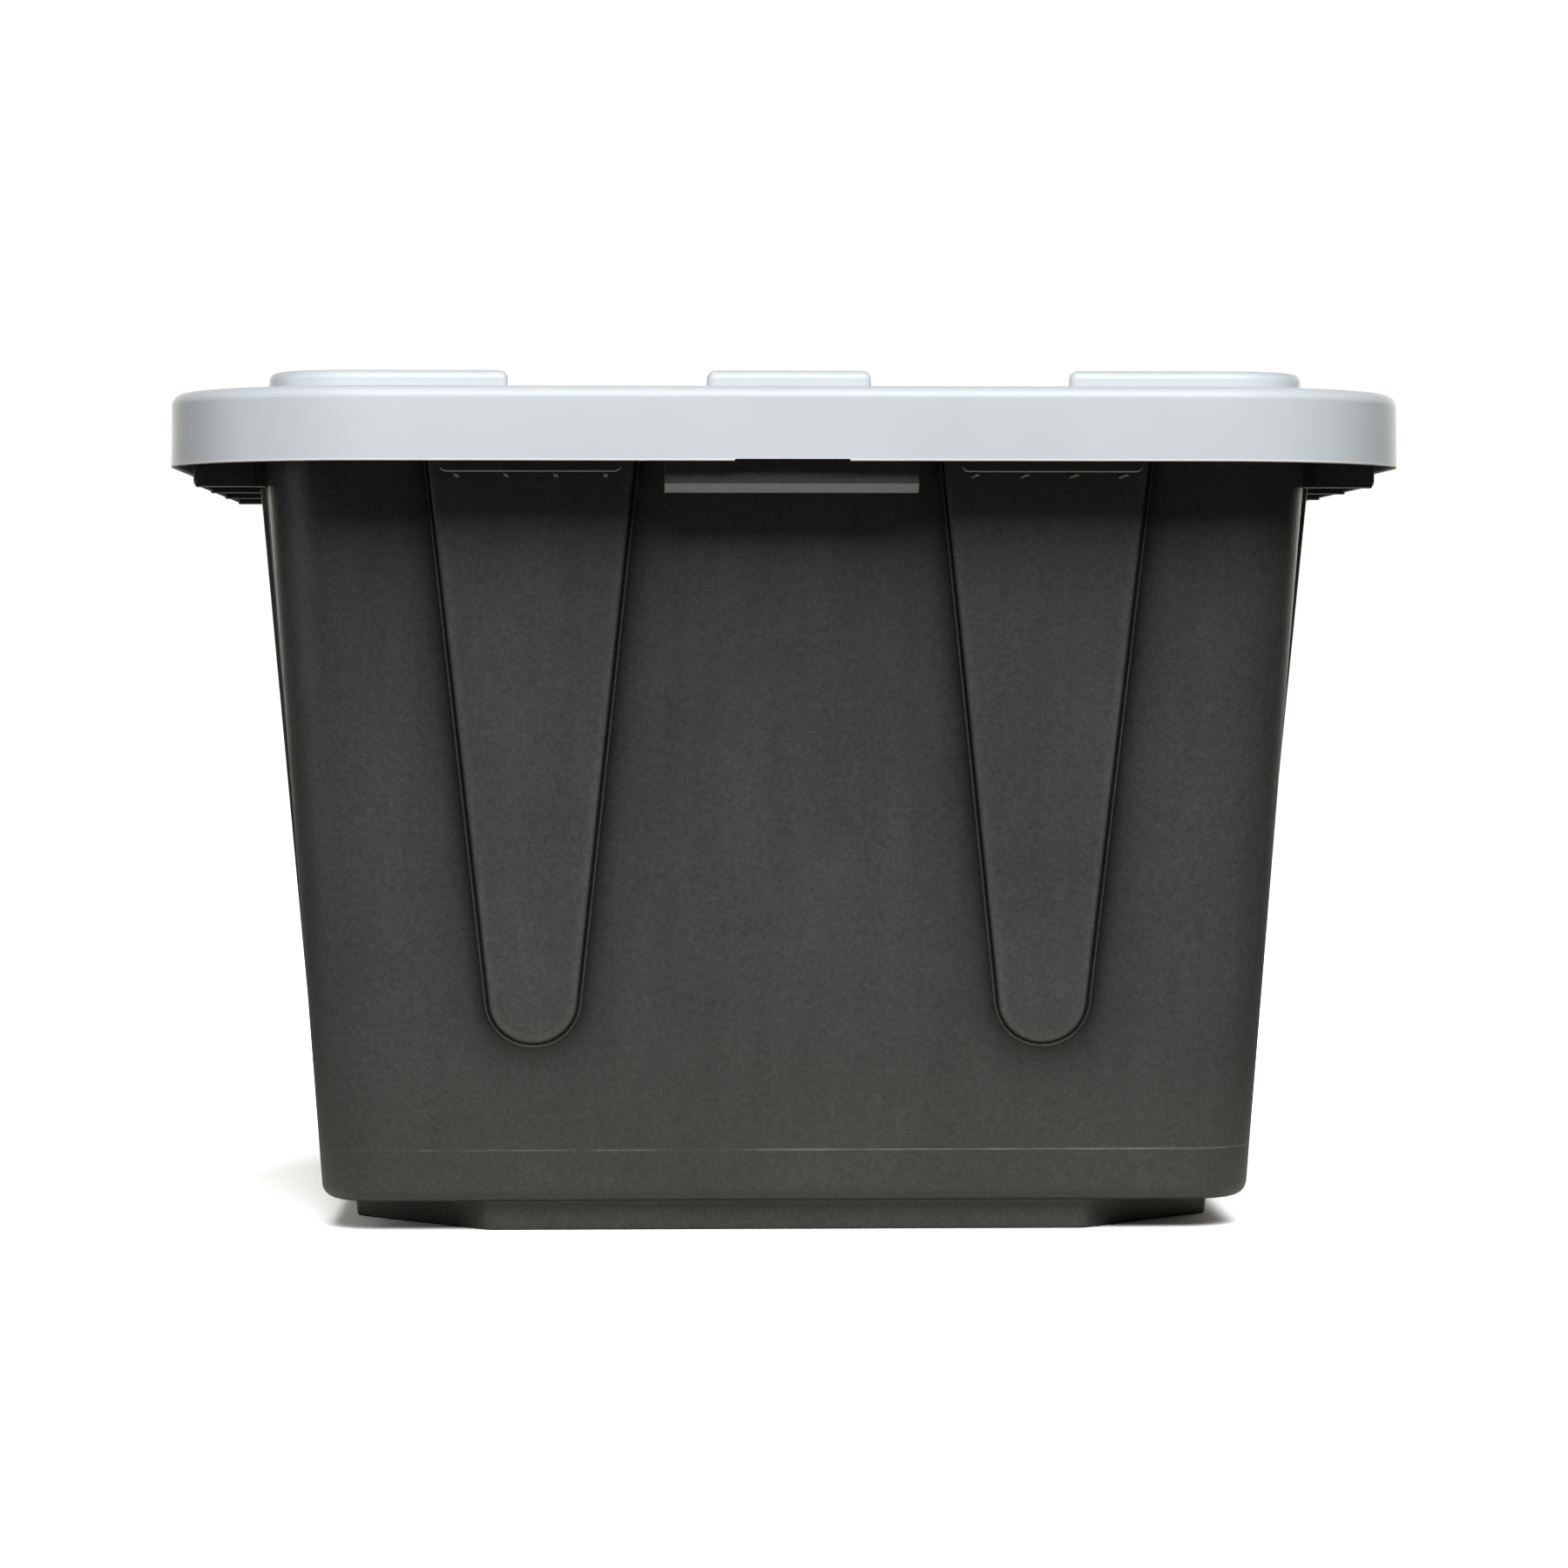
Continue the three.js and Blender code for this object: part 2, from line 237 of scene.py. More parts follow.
def together(solids):
    """Solids that don't touch, as one."""
    points, faces, first = [], [], 0
    for solid_points, solid_faces in solids:
        points.append(solid_points)
        faces += [tuple(first + index for index in face) for face in solid_faces]
        first += len(solid_points)
    return np.concatenate(points), faces


def turned(solid, degrees):
    angle = math.radians(degrees)
    cosine, sine = round(math.cos(angle)), round(math.sin(angle))
    matrix = np.array([[cosine, -sine, 0], [sine, cosine, 0], [0, 0, 1]], float)
    points, faces = solid
    return points @ matrix.T, faces


def level_ring(corners, inset, z, steps=6, spans=1):
    flat = outline(corners, inset, steps, spans)
    return np.column_stack([flat, np.full(len(flat), z)])


def quarter(steps):
    """Pairs of (1 - cos, sin) along a quarter turn."""
    for step in range(steps + 1):
        angle = math.pi / 2 * step / steps
        yield 1 - math.cos(angle), math.sin(angle)


def pillow(low, high, low_edge, high_edge, steps=4):
    """(inset, height) pairs of an upright side with rounded lower and upper edges."""
    pairs = [(low_edge * (1 - s), low + low_edge * c) for c, s in quarter(steps)]
    return pairs + [(high_edge * c, high - high_edge * (1 - s)) for c, s in quarter(steps)]


def plate(corners, low, high, low_edge, high_edge, steps=6, spans=1):
    """A level plate with rounded edges."""
    pairs = pillow(low, high, low_edge, high_edge)
    return loft([level_ring(corners, inset, z, steps, spans) for inset, z in pairs])


def hoop(corners, thickness, bottom, top, edge, steps):
    """An upright band that runs all the way round an outline, with a rounded lower edge."""
    outer = [(edge * (1 - s), bottom + edge * c) for c, s in quarter(4)] + [(0, top)]
    inner = [(thickness - inset, z) for inset, z in reversed(outer)]
    return loft([level_ring(corners, inset, z, steps) for inset, z in outer + inner], looped=True)


def slab(corners, near, far, edge, place):
    """A plate with rounded edges, whose outline and depth place() sets in space."""
    pairs = pillow(near, far, edge, edge, 3)
    return loft([place(outline(corners, inset, 4), depth) for inset, depth in pairs])


def on_front(flat, outward):
    """Outline points (x, z) at a distance in front of the middle plane."""
    return np.column_stack([flat[:, 0], np.full(len(flat), -outward), flat[:, 1]])


# ---- Booleans ----


def as_object(name, solid):
    points, faces = solid
    mesh = bpy.data.meshes.new(name)
    mesh.from_pydata((points / 1000).tolist(), [], faces)
    mesh.update()
    made = bpy.data.objects.new(name, mesh)
    bpy.context.scene.collection.objects.link(made)
    return made


def settle(target):
    """Replaces the object's mesh by what its modifiers make of it."""
    graph = bpy.context.evaluated_depsgraph_get()
    mesh = bpy.data.meshes.new_from_object(target.evaluated_get(graph))
    target.modifiers.clear()
    old = target.data
    target.data = mesh
    bpy.data.meshes.remove(old)


def combine(target, operation, solid):
    tool = as_object("tool", solid)
    modifier = target.modifiers.new("combine", "BOOLEAN")
    modifier.operation = operation
    modifier.object = tool
    modifier.solver = "MANIFOLD"
    settle(target)
    bpy.data.meshes.remove(tool.data)


def finished(piece, name, node, body, material):
    """Smooths a moulding's faces over its roundings and hands it to the frame."""
    piece.name = name
    piece.data.name = name
    piece.data.shade_smooth()
    piece.data.set_sharp_from_angle(angle=math.radians(SHARP_ANGLE))
    weighted = piece.modifiers.new("flat faces stay flat", "WEIGHTED_NORMAL")
    weighted.mode = "FACE_AREA"
    weighted.weight = 60
    weighted.keep_sharp = True
    settle(piece)
    piece.data.materials.clear()
    piece.data.materials.append(material)
    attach(piece, body)
    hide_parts(node)


# ---- Tub ----


def tub_ring(inset, z):
    share = (z - UNDERSIDE) / (RIM_TOP - UNDERSIDE)
    radius = TUB_BOTTOM_CORNER + share * (TUB_TOP_CORNER - TUB_BOTTOM_CORNER)
    corners = centred(TUB_HALF_X + lean(z), TUB_HALF_Y + lean(z), radius)
    return level_ring(corners, inset, z, steps=14, spans=6)


def tub_block():
    rings = [tub_ring(TUB_EDGE * (1 - s), UNDERSIDE + TUB_EDGE * c) for c, s in quarter(8)]
    heights = np.linspace(UNDERSIDE + TUB_EDGE, WALL_TOP, 9)[1:]
    return loft(rings + [tub_ring(0, z) for z in heights])


def tub_cavity():
    """The hollow, with a rounded floor edge and a rounded mouth."""
    floor = UNDERSIDE + WALL
    edge = TUB_EDGE - WALL
    mouth = 1.4
    rings = [tub_ring(WALL + edge * (1 - s), floor + edge * c) for c, s in quarter(5)]
    heights = np.linspace(floor + edge, RIM_TOP - mouth, 8)[1:-1]
    rings += [tub_ring(WALL, z) for z in heights]
    rings += [tub_ring(WALL - mouth * c, RIM_TOP - mouth * (1 - s)) for c, s in quarter(4)]
    return loft(rings + [tub_ring(WALL - mouth, RIM_TOP + 2)])


def pilaster_corners(top):
    splay = math.atan(PILASTER_SLOPE)
    radius = PILASTER_TIP_RADIUS
    bottom = PILASTER_TIP_CENTRE - radius

    def half(z):
        climb = z - PILASTER_TIP_CENTRE + radius * math.sin(splay)
        return radius * math.cos(splay) + climb * PILASTER_SLOPE

    low, high = half(bottom), half(top)
    return [(-low, bottom, radius), (low, bottom, radius), (high, top, 0.1), (-high, top, 0.1)]


def pilaster(wall_half, centre, profile):
    """A pilaster on the wall that faces -Y. profile(rise) gives its rings as (inset, outward)."""
    corners = pilaster_corners(RIM_TOP + PILASTER_OVERSHOOT)
    span = RIM_UNDERSIDE - PILASTER_TIP_CENTRE
    gain = PILASTER_RISE_RIM - PILASTER_RISE_TIP
    heights = outline(corners, 0, PILASTER_STEPS)[:, 1]
    rise = PILASTER_RISE_TIP + gain * np.clip((heights - PILASTER_TIP_CENTRE) / span, 0, 1)
    rings = []
    for pairs in zip(*(profile(value) for value in rise)):
        flat = np.array([outline(corners, inset, PILASTER_STEPS)[i] for i, (inset, _) in enumerate(pairs)])
        outward = np.array([pair[1] for pair in pairs])
        face = wall_half + lean(flat[:, 1]) + outward
        rings.append(np.column_stack([centre + flat[:, 0], -face, flat[:, 1]]))
    return loft(rings)


def raised_profile(rise):
    """A wide cove, a fine groove and the rounded edge of a raised pilaster."""
    cove = COVE_SHARE * rise
    reach = np.linspace(0, 1, 8)
    pairs = [(-COVE_WIDTH * (1 - t), cove * t * t - 0.12 * (1 - t)) for t in reach]
    pairs += [(0.15, cove + 0.02), (0.3, cove - 0.1), (0.45, cove - 0.8), (1.0, cove - 0.9)]
    edge = min(PILASTER_EDGE, rise - cove + 0.6)
    pairs += [(GROOVE_WIDTH + PILASTER_EDGE * c, rise - edge * (1 - s)) for c, s in quarter(6)]
    return pairs + [(GROOVE_WIDTH + PILASTER_EDGE + 0.8, rise)]


def recess_profile(rise):
    """The hollow behind a pilaster, one wall thickness inside it."""
    edge = min(1.2, 0.6 * rise)
    start = [(WALL - 0.6, -WALL - 1)]
    return start + [(WALL + edge * c, rise - WALL - edge * (1 - s)) for c, s in quarter(3)]


def drop(half, low_x, high_x, bottom, corner):
    """The lowered stretch of apron along the wall that faces -Y."""
    top = RIM_UNDERSIDE + OVERLAP
    corners = [(low_x, bottom, corner), (high_x, bottom, corner), (high_x, top, 0.2), (low_x, top, 0.2)]
    return slab(corners, half - WALL, half + DROP_PROUD, DROP_EDGE, on_front)


def rib(wall_half, apron_half, x, bottom):
    """An upright rib that ties the apron to the wall that faces -Y."""
    top = RIM_UNDERSIDE + OVERLAP
    root = wall_half + lean(bottom) - 1
    setback, corner = 0.9, 0.9
    corners = rectangle(root, apron_half - setback, bottom, top, corner)
    half = RIB_THICKNESS / 2

    def place(flat, depth):
        return np.column_stack([np.full(len(flat), x + depth), -flat[:, 0], flat[:, 1]])

    return slab(corners, -half, half, RIB_EDGE, place)


def ledge():
    """The bevelled grip ledge at the middle of the long side that faces -Y."""
    top = RIM_UNDERSIDE + OVERLAP
    face = APRON_HALF_Y + DROP_PROUD
    inner = LEDGE_BEVEL - WALL * (2 - math.sqrt(2))
    corners = [
        (face, top, 0.2),
        (face, LEDGE_BOTTOM + LEDGE_BEVEL, 0.9),
        (face - LEDGE_BEVEL, LEDGE_BOTTOM, 0.9),
        (face - LEDGE_DEPTH, LEDGE_BOTTOM, 1.1),
        (face - LEDGE_DEPTH, LEDGE_BOTTOM + WALL, 1.1),
        (face - WALL - inner, LEDGE_BOTTOM + WALL, 0.6),
        (face - WALL, LEDGE_BOTTOM + WALL + inner, 0.6),
        (face - WALL, top, 0.2),
    ]

    def place(flat, depth):
        return np.column_stack([np.full(len(flat), depth), -flat[:, 0], flat[:, 1]])

    return slab(corners[::-1], -LEDGE_HALF, LEDGE_HALF, DROP_EDGE, place)


def foot_block():
    corners = foot_octagon(0, FOOT_CORNER)
    base = 1.0  # draft over the foot's height
    edge = 1.4
    pairs = [(base + edge * (1 - s), edge * c) for c, s in quarter(4)]
    pairs += [(0, UNDERSIDE - 1.5), (-0.4, UNDERSIDE - 0.5)]
    pairs += [(-1.5, UNDERSIDE + 0.2), (-1.5, UNDERSIDE + 1)]
    return loft([level_ring(corners, inset, z) for inset, z in pairs])


def foot_recess():
    """The sunken middle of the floor, inside the foot."""
    corners = foot_octagon(-WALL - 1, FOOT_CORNER)
    low = FOOT_PANEL_LIFT + WALL
    high = UNDERSIDE + WALL
    low_edge, high_edge = 2, 1.5
    pairs = [(low_edge * (1 - s), low + low_edge * c) for c, s in quarter(4)]
    pairs += [(-high_edge * c, high - high_edge * (1 - s)) for c, s in quarter(4)]
    pairs += [(-high_edge, high + 0.3)]
    return loft([level_ring(corners, inset, z) for inset, z in pairs])


def gate_dish(z, direction):
    """The shallow round dish that the injection gate leaves in the middle of a moulding."""
    radius, depth = 9, 0.7
    corners = centred(radius, radius, radius)
    pairs = [(0, z - direction * 1.0), (0, z), (1.2, z + direction * 0.5), (2.5, z + direction * depth)]
    return loft([level_ring(corners, inset, height, steps=10) for inset, height in pairs])


def gate_nub(z, direction):
    corners = centred(1.8, 1.8, 1.8)
    pairs = [(0, z + direction), (0, z), (0.5, z - direction * 0.35), (1.2, z - direction * 0.5)]
    return loft([level_ring(corners, inset, height, steps=5) for inset, height in pairs])


def make_tub(material):
    tub = as_object("tub_moulding", tub_block())
    raised = {
        0: [pilaster(TUB_HALF_Y, x, raised_profile) for x in LONG_PILASTERS],
        90: [pilaster(TUB_HALF_X, x, raised_profile) for x in END_PILASTERS],
    }
    hollows = {
        0: [pilaster(TUB_HALF_Y, x, recess_profile) for x in LONG_PILASTERS],
        90: [pilaster(TUB_HALF_X, x, recess_profile) for x in END_PILASTERS],
    }
    lips = [drop(APRON_HALF_Y, x - LIP_HALF, x + LIP_HALF, LIP_BOTTOM, 4) for x in LONG_PILASTERS]
    grip = [drop(APRON_HALF_X, -GRIP_HALF, GRIP_HALF, GRIP_BOTTOM, 3)]
    drops = {0: lips + [ledge()], 90: grip}
    long_ribs = [x + offset for x in LONG_PILASTERS for offset in LIP_RIBS]
    ribs = {
        0: [rib(TUB_HALF_Y, APRON_HALF_Y, x, LIP_RIB_BOTTOM) for x in long_ribs],
        90: [rib(TUB_HALF_X, APRON_HALF_X, x, GRIP_RIB_BOTTOM) for x in GRIP_RIBS],
    }

    def all_round(features):
        solids = []
        for first, group in features.items():
            for angle in (first, first + 180):
                solids += [turned(solid, angle) for solid in group]
        return together(solids)

    combine(tub, "UNION", foot_block())
    combine(tub, "UNION", all_round(raised))
    trim = centred(RIM_HALF_X, RIM_HALF_Y, 10)
    combine(tub, "INTERSECT", plate(trim, -1, WALL_TOP, 0.1, 0.1))
    rim = centred(RIM_HALF_X, RIM_HALF_Y, RIM_CORNER)
    combine(tub, "UNION", plate(rim, RIM_UNDERSIDE, RIM_TOP, 0.6, 1.2, steps=14, spans=4))
    apron = centred(APRON_HALF_X, APRON_HALF_Y, APRON_CORNER)
    combine(tub, "UNION", hoop(apron, WALL, APRON_BOTTOM, RIM_UNDERSIDE + OVERLAP, 1.2, steps=14))
    combine(tub, "UNION", all_round(drops))
    combine(tub, "UNION", all_round(ribs))
    combine(tub, "DIFFERENCE", tub_cavity())
    combine(tub, "DIFFERENCE", foot_recess())
    combine(tub, "DIFFERENCE", all_round(hollows))
    under = foot_octagon(-FOOT_RING, FOOT_CORNER)
    panel_pairs = [(-0.8, -1), (-0.8, 0), (-0.3, 0.2), (0, 0.6), (0.2, 1.0), (0.8, FOOT_PANEL_LIFT)]
    combine(tub, "DIFFERENCE", loft([level_ring(under, inset, z) for inset, z in panel_pairs]))
    combine(tub, "DIFFERENCE", gate_dish(FOOT_PANEL_LIFT, 1))
    combine(tub, "UNION", gate_nub(FOOT_PANEL_LIFT + 0.7, 1))
    finished(tub, "tub_moulding", "tub", "tub", material)


# ---- Lid ----


def lid_ring(inset, z):
    return level_ring(centred(LID_HALF_X, LID_HALF_Y, LID_CORNER), inset, z, steps=20, spans=6)


def lid_block():
    straight_top = LID_TOP - LID_EDGE
    taper = SKIRT_DRAFT * (straight_top - SKIRT_BOTTOM)
    rings = [lid_ring(SKIRT_EDGE * (1 - s), SKIRT_BOTTOM + SKIRT_EDGE * c) for c, s in quarter(4)]
    skirt_height = straight_top - SKIRT_BOTTOM
    rings += [lid_ring(taper * share, SKIRT_BOTTOM + share * skirt_height) for share in (0.4, 0.7)]
    rings += [lid_ring(taper + LID_EDGE * c, straight_top + LID_EDGE * s) for c, s in quarter(8)]
    return loft(rings)


def lid_hollow():
    edge = LID_EDGE - WALL
    straight_top = LID_TOP - LID_EDGE
    taper = SKIRT_DRAFT * (straight_top - SKIRT_BOTTOM)
    lip = 0.9
    rings = [lid_ring(WALL - lip, SKIRT_BOTTOM - 1), lid_ring(WALL - lip, SKIRT_BOTTOM)]
    rings += [lid_ring(WALL - lip * (1 - s), SKIRT_BOTTOM + lip * c) for c, s in quarter(3)][1:]
    rings += [lid_ring(WALL + taper + edge * c, straight_top + edge * s) for c, s in quarter(4)]
    return loft(rings)


def pad_outlines():
    """The four corner pads and the four middle pads, as outlines."""
    clearance = NEST_CLEARANCE + 1
    inner_x, inner_y = FOOT_HALF_X + clearance, FOOT_HALF_Y + clearance
    cut = FOOT_CHAMFER + clearance * (2 - math.sqrt(2))
    diagonal = inner_x + inner_y - cut
    small = PAD_SMALL_CORNER
    corner = [
        (CORNER_PAD_FROM_X, PAD_HALF_Y, small),
        (CORNER_PAD_FROM_X, inner_y, 1.5),
        (diagonal - inner_y, inner_y, small),
        (diagonal - CORNER_PAD_FROM_Y, CORNER_PAD_FROM_Y, small),
        (PAD_HALF_X, CORNER_PAD_FROM_Y, small),
        (PAD_HALF_X, PAD_HALF_Y, PAD_CORNER),
    ]
    outlines = []
    for sign_x in (-1, 1):
        for sign_y in (-1, 1):
            moved = [(x * sign_x, y * sign_y, r) for x, y, r in corner]
            outlines.append(moved if sign_x * sign_y > 0 else moved[::-1])
    for sign in (-1, 1):
        low_y, high_y = sorted((sign * inner_y, sign * PAD_HALF_Y))
        outlines.append(rectangle(-MIDDLE_PAD_HALF_X, MIDDLE_PAD_HALF_X, low_y, high_y, small))
        low_x, high_x = sorted((sign * inner_x, sign * PAD_HALF_X))
        outlines.append(rectangle(low_x, high_x, -MIDDLE_PAD_HALF_Y, MIDDLE_PAD_HALF_Y, small))
    return outlines


def pad(corners):
    draft = 0.15
    start = [(0, LID_TOP - 1.0), (0, LID_TOP + 0.5)]
    side = [(draft + PAD_EDGE * c, PAD_TOP - PAD_EDGE * (1 - s)) for c, s in quarter(7)]
    return loft([level_ring(corners, inset, z, steps=8) for inset, z in start + side])


def pad_hollow(corners):
    edge = 2.0
    top = PAD_TOP - WALL
    start = [(WALL, LID_TOP - WALL - 1)]
    side = [(WALL + edge * c, top - edge * (1 - s)) for c, s in quarter(3)]
    return loft([level_ring(corners, inset, z, steps=4) for inset, z in start + side])


def nest_hollow():
    corners = foot_octagon(NEST_CLEARANCE, FOOT_CORNER)
    floor = LID_TOP - NEST_DEPTH
    low, high = 1.6, 0.8
    pairs = [(low * (1 - s), floor + low * c) for c, s in quarter(5)]
    pairs += [(-high * c, LID_TOP - high * (1 - s)) for c, s in quarter(4)]
    return loft([level_ring(corners, inset, z) for inset, z in pairs + [(-high, LID_TOP + 1)]])


def plug_corners():
    half_x = TUB_HALF_X + lean(PLUG_BOTTOM) - WALL - PLUG_GAP
    half_y = TUB_HALF_Y + lean(PLUG_BOTTOM) - WALL - PLUG_GAP
    return centred(half_x, half_y, TUB_TOP_CORNER - WALL - PLUG_GAP)


def notch(side):
    """The shallow step in the skirt's lower edge, at the middle of a long side."""
    low, high = SKIRT_BOTTOM - 3, SKIRT_BOTTOM + NOTCH_HEIGHT
    corners = rectangle(-NOTCH_HALF, NOTCH_HALF, low, high, 0.4)
    middle = side * (LID_HALF_Y - WALL / 2)
    return slab(corners, middle - 4, middle + 4, 0.3, on_front)


def make_lid(material):
    lid = as_object("lid_moulding", lid_block())
    outlines = pad_outlines()
    combine(lid, "UNION", together([pad(corners) for corners in outlines]))
    combine(lid, "DIFFERENCE", lid_hollow())
    under_nest = foot_octagon(NEST_CLEARANCE + WALL, FOOT_CORNER)
    nest_low = LID_TOP - NEST_DEPTH - WALL
    combine(lid, "UNION", plate(under_nest, nest_low, LID_TOP - WALL + OVERLAP, 1.0, 0.1))
    combine(lid, "DIFFERENCE", together([pad_hollow(corners) for corners in outlines]))
    combine(lid, "DIFFERENCE", nest_hollow())
    plug = hoop(plug_corners(), PLUG_THICKNESS, PLUG_BOTTOM, LID_TOP - WALL + OVERLAP, 1.0, steps=10)
    combine(lid, "UNION", plug)
    combine(lid, "DIFFERENCE", together([notch(-1), notch(1)]))
    combine(lid, "DIFFERENCE", gate_dish(LID_TOP - NEST_DEPTH, -1))
    combine(lid, "UNION", gate_nub(LID_TOP - NEST_DEPTH - 0.7, -1))
    finished(lid, "lid_moulding", "lid", "lid", material)


# ---- Materials (heights and distances here are in metres) ----

PAINTED_SHADE_DEPTH = 0.8  # painted shade: share of its tone that a wall loses beside a pilaster
PAINTED_SHADE_WIDTH = 0.006  # over which this painted shade fades away
PAINTED_SHADE_SPREAD = 0.2  # a further share of painted shade, which fades over a width five times as great
GROOVE_SHADE = 0.15  # painted shade in the groove
PAINTED_CREST_HIGHLIGHT = 0.8  # painted highlight on the thin crest between the cove and the groove
PAINTED_LIP_HIGHLIGHT = 1.3  # painted highlight on a pilaster's edge just inside its groove
END_PLAINNESS = 0.55  # how much of that painted shade and highlight the ends do without
BEYOND_PILASTERS = (0.0065, 0.0075)  # distance out from the wall where the painted shade and highlights stop

WITNESS_LINE = 0.041  # height of the faint mould line, drawn only as a painted highlight
WITNESS_PAINTED_HIGHLIGHT = 2.0
BOTTOM_PAINTED_SHADE = 0.82  # painted shade: tone of the walls at their lower edge
BOTTOM_FADE_TOP = 0.13
CREASE_PAINTED_SHADE = 0.25  # painted shade in the crease of the walls' lower rounding, next to the foot
GLINT_FROM = 0.36  # bevels that look down are painted paler above this height, a painted highlight for the floor's reflection
LEDGE_GLINT, RIB_GLINT = 5.0, 10.0
RIB_GLINT_FROM = 0.368

DARK_BLACK, PALE_BLACK = (0.0430, 0.0440, 0.0428, 1), (0.0570, 0.0577, 0.0562, 1)
DARK_GREY, PALE_GREY = (0.56, 0.60, 0.63, 1), (0.60, 0.64, 0.67, 1)
# painted highlight along the skirt's lowest edge
SKIRT_EDGE_PAINTED_HIGHLIGHT = (0.9, 0.9, 0.88, 1)
UPWARD_PAINTED_SHADE = 0.74  # painted shade on the lid's faces that look up
SPECULAR, UPWARD_SPECULAR = 0.5, 0.2
BLACK_ROUGHNESS = (0.26, 0.40)  # in a groove and away from it
GREY_ROUGHNESS = (0.36, 0.44)
PLASTIC_IOR = 1.49


def add_node(tree, kind, inputs=None, **settings):
    made = tree.nodes.new(kind)
    for key, value in settings.items():
        setattr(made, key, value)
    for key, value in (inputs or {}).items():
        if isinstance(value, bpy.types.NodeSocket):
            tree.links.new(value, made.inputs[key])
        else:
            made.inputs[key].default_value = value
    return made


def new_material(name):
    material = bpy.data.materials.new(name)
    material.use_nodes = True
    tree = material.node_tree
    tree.nodes.clear()
    output = add_node(tree, "ShaderNodeOutputMaterial")
    shader = add_node(tree, "ShaderNodeBsdfPrincipled")
    tree.links.new(shader.outputs["BSDF"], output.inputs["Surface"])
    place = add_node(tree, "ShaderNodeTexCoord").outputs["Object"]
    return material, tree, shader, place


def noise(tree, place, scale, detail=2.0, roughness=0.5, stretch=(1, 1, 1)):
    mapped = add_node(tree, "ShaderNodeMapping", {"Vector": place, "Scale": stretch})
    made = add_node(
        tree,
        "ShaderNodeTexNoise",
        {"Vector": mapped.outputs["Vector"], "Scale": scale, "Detail": detail, "Roughness": roughness},
    )
    return made.outputs["Fac"]


def spread(tree, value, low, high, to_low, to_high):
    made = add_node(
        tree,
        "ShaderNodeMapRange",
        {"Value": value, "From Min": low, "From Max": high, "To Min": to_low, "To Max": to_high},
    )
    return made.outputs["Result"]


def varied(tree, pattern, low, high):
    """A number from low to high that follows a noise pattern over its usual range."""
    return spread(tree, pattern, 0.3, 0.7, low, high)


def calculate(tree, operation, *values):
    return add_node(tree, "ShaderNodeMath", dict(enumerate(values)), operation=operation).outputs[0]


def chosen(tree, share, first, second):
    """A number between first and second."""
    mixed = add_node(tree, "ShaderNodeMix", {"Factor": share, 2: first, 3: second}, data_type="FLOAT")
    return mixed.outputs[0]


def scaled(tree, colour, strength):
    made = add_node(tree, "ShaderNodeVectorMath", {0: colour, "Scale": strength}, operation="SCALE")
    return made.outputs[0]


def blended(tree, share, first, second):
    made = add_node(tree, "ShaderNodeMix", {"Factor": share}, data_type="RGBA")
    for socket, value in ((6, first), (7, second)):
        if isinstance(value, bpy.types.NodeSocket):
            tree.links.new(value, made.inputs[socket])
        else:
            made.inputs[socket].default_value = value
    return made.outputs[2]


def bumped(tree, height, distance, strength, below=None):
    inputs = {"Height": height, "Distance": distance, "Strength": strength}
    if below is not None:
        inputs["Normal"] = below
    return add_node(tree, "ShaderNodeBump", inputs).outputs["Normal"]


def wall_frame(tree, place):
    """Where a point of the tub lies on its nearest wall.

    Gives how far it is sideways from the nearest pilaster's middle line, how high above the
    pilaster's tip centre, how far out from the wall, and 1 on the ends or 0 on the long sides.
    """
    split = add_node(tree, "ShaderNodeSeparateXYZ", {0: place}).outputs
    x, y = calculate(tree, "ABSOLUTE", split["X"]), calculate(tree, "ABSOLUTE", split["Y"])
    corner = (TUB_HALF_X - TUB_HALF_Y) / 1000
    on_end = spread(tree, calculate(tree, "SUBTRACT", x, y), corner - 0.0001, corner + 0.0001, 0, 1)
    from_long = calculate(tree, "SUBTRACT", x, LONG_PILASTERS[1] / 1000)
    from_end = calculate(tree, "SUBTRACT", y, END_PILASTERS[1] / 1000)
    side = calculate(tree, "ABSOLUTE", chosen(tree, on_end, from_long, from_end))
    up = calculate(tree, "SUBTRACT", split["Z"], PILASTER_TIP_CENTRE / 1000)
    upright = chosen(
        tree,
        on_end,
        calculate(tree, "SUBTRACT", y, (TUB_HALF_Y + lean(PILASTER_TIP_CENTRE)) / 1000),
        calculate(tree, "SUBTRACT", x, (TUB_HALF_X + lean(PILASTER_TIP_CENTRE)) / 1000),
    )
    return side, up, calculate(tree, "MULTIPLY_ADD", up, -TUB_DRAFT, upright), on_end


def pilaster_distance(tree, side, up):
    """How far a point of a tub wall lies outside the nearest pilaster's outline."""
    splay = math.atan(PILASTER_SLOPE)
    at_tip = PILASTER_TIP_RADIUS / 1000 / math.cos(splay)
    half = spread(tree, up, 0, 1, at_tip, at_tip + PILASTER_SLOPE)
    straight = calculate(tree, "MULTIPLY", calculate(tree, "SUBTRACT", side, half), math.cos(splay))
    squares = calculate(tree, "POWER", side, 2), calculate(tree, "MULTIPLY", up, up)
    from_centre = calculate(tree, "SQRT", calculate(tree, "ADD", *squares))
    round_tip = calculate(tree, "SUBTRACT", from_centre, PILASTER_TIP_RADIUS / 1000)
    return chosen(tree, spread(tree, up, -0.003, -0.001, 0, 1), round_tip, straight)


def height_of(tree, place):
    return add_node(tree, "ShaderNodeSeparateXYZ", {0: place}).outputs["Z"]


def facing_up(tree):
    """1 on faces that look straight up, -1 on faces that look straight down."""
    return height_of(tree, add_node(tree, "ShaderNodeNewGeometry").outputs["Normal"])


